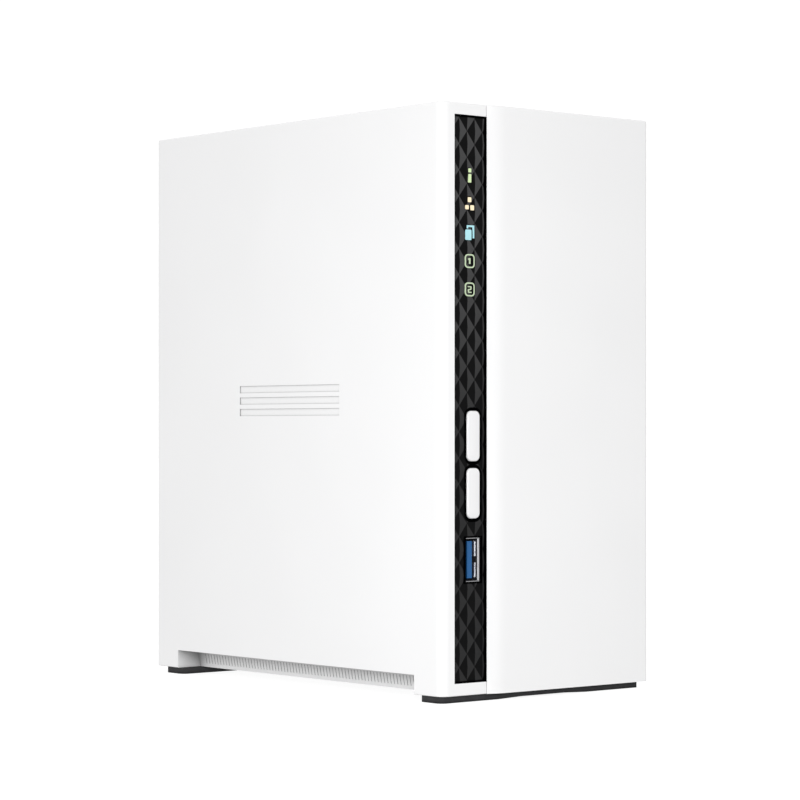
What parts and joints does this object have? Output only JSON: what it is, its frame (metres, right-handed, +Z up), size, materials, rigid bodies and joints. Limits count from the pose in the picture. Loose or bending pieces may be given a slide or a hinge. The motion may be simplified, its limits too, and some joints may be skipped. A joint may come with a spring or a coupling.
{
  "type": "network attached storage",
  "caption": "White desktop network storage tower with two upright drives, a black faceted front strip with status lamps, keys and a USB port, and rear ports beside a fan.",
  "frame": {"origin": "middle of the base, on the surface that the feet stand on", "axes": "+Z up, +X to the right and -Y to the front as a person faces it"},
  "size_m": [0.0902, 0.1562, 0.189],
  "materials": {
    "shell_white": "fine satin moulded plastic",
    "strip_black": "black moulded plastic with small pyramid facets",
    "key_white": "smooth gloss",
    "lens_green": "lit light guide",
    "lens_warm": "lit light guide",
    "lens_cyan": "lit light guide",
    "black_plastic": "fine matt",
    "grey_rubber": "matt rubber",
    "board_green": "lacquered circuit board",
    "chip_black": "moulded package",
    "ferrite": "pressed ferrite",
    "bare_aluminium": "satin",
    "anodised": "dark anodised",
    "cast_drive": "die cast",
    "plated_steel": "zinc plated",
    "port_steel": "bright nickel",
    "usb_blue": "moulded",
    "contact_brass": "gold flashed",
    "wire_black": "insulation"
  },
  "bodies": {
    "chassis": {"main_shell": "shell_white", "front_foot": "grey_rubber", "rear_foot": "grey_rubber", "status_lens": "lens_green", "network_lens": "lens_warm", "copy_lens": "lens_cyan", "drive_one_lens": "lens_green", "drive_two_lens": "lens_green", "front_strip": "strip_black", "lamp_shroud": "black_plastic", "front_board": "board_green", "indicator_lamps": "lens_warm", "front_board_connector": "black_plastic", "power_switch": "black_plastic", "copy_switch": "black_plastic", "front_usb_shell": "port_steel", "front_usb_tongue": "usb_blue", "upper_usb_shell": "port_steel", "upper_usb_tongue": "usb_blue", "lower_usb_shell": "port_steel", "lower_usb_tongue": "usb_blue", "lan_port_shell": "port_steel", "lan_port_insert": "black_plastic", "power_jack": "black_plastic", "power_jack_pin": "contact_brass", "reset_switch": "black_plastic", "main_board": "board_green", "processor": "chip_black", "heatsink": "anodised", "board_chips": "chip_black", "power_inductors": "ferrite", "capacitors": "bare_aluminium", "coin_cell_holder": "black_plastic", "coin_cell": "port_steel", "buzzer": "black_plastic", "drive_one_case": "cast_drive", "drive_one_lid": "plated_steel", "drive_one_board": "board_green", "drive_two_case": "cast_drive", "drive_two_lid": "plated_steel", "drive_two_board": "board_green", "drive_frame": "plated_steel", "drive_link_board": "board_green", "drive_sockets": "black_plastic", "riser_socket": "black_plastic", "fan_frame": "black_plastic", "fan_lead": "wire_black", "fan_plug": "key_white", "board_screws": "plated_steel", "cover_screws": "plated_steel", "fan_screws": "plated_steel", "frame_screws": "plated_steel", "drive_screws": "plated_steel"},
    "cover": {"side_cover": "shell_white"},
    "power_key": {"power_button": "key_white", "power_switch_plunger": "black_plastic"},
    "copy_key": {"copy_button": "key_white", "copy_switch_plunger": "black_plastic"},
    "reset_key": {"reset_plunger": "black_plastic"},
    "fan_wheel": {"fan_rotor": "black_plastic"}
  },
  "joints": [
    {"name": "cover_slide", "type": "slide", "parent": "chassis", "child": "cover", "axis": [0, -1, 0], "range_m": [0, 0.014]},
    {"name": "power_press", "type": "slide", "parent": "chassis", "child": "power_key", "axis": [0, 1, 0], "range_m": [0, 0.0005], "stiffness_N_per_m": 1500, "springref_m": -0.0004},
    {"name": "copy_press", "type": "slide", "parent": "chassis", "child": "copy_key", "axis": [0, 1, 0], "range_m": [0, 0.0005], "stiffness_N_per_m": 1500, "springref_m": -0.0004},
    {"name": "reset_press", "type": "slide", "parent": "chassis", "child": "reset_key", "axis": [0, -1, 0], "range_m": [0, 0.0003], "stiffness_N_per_m": 1200, "springref_m": -0.0003},
    {"name": "fan_spin", "type": "hinge", "parent": "chassis", "child": "fan_wheel", "pos_m": [0.0075, 0.063, 0.122], "axis": [0, 1, 0], "continuous": true}
  ]
}
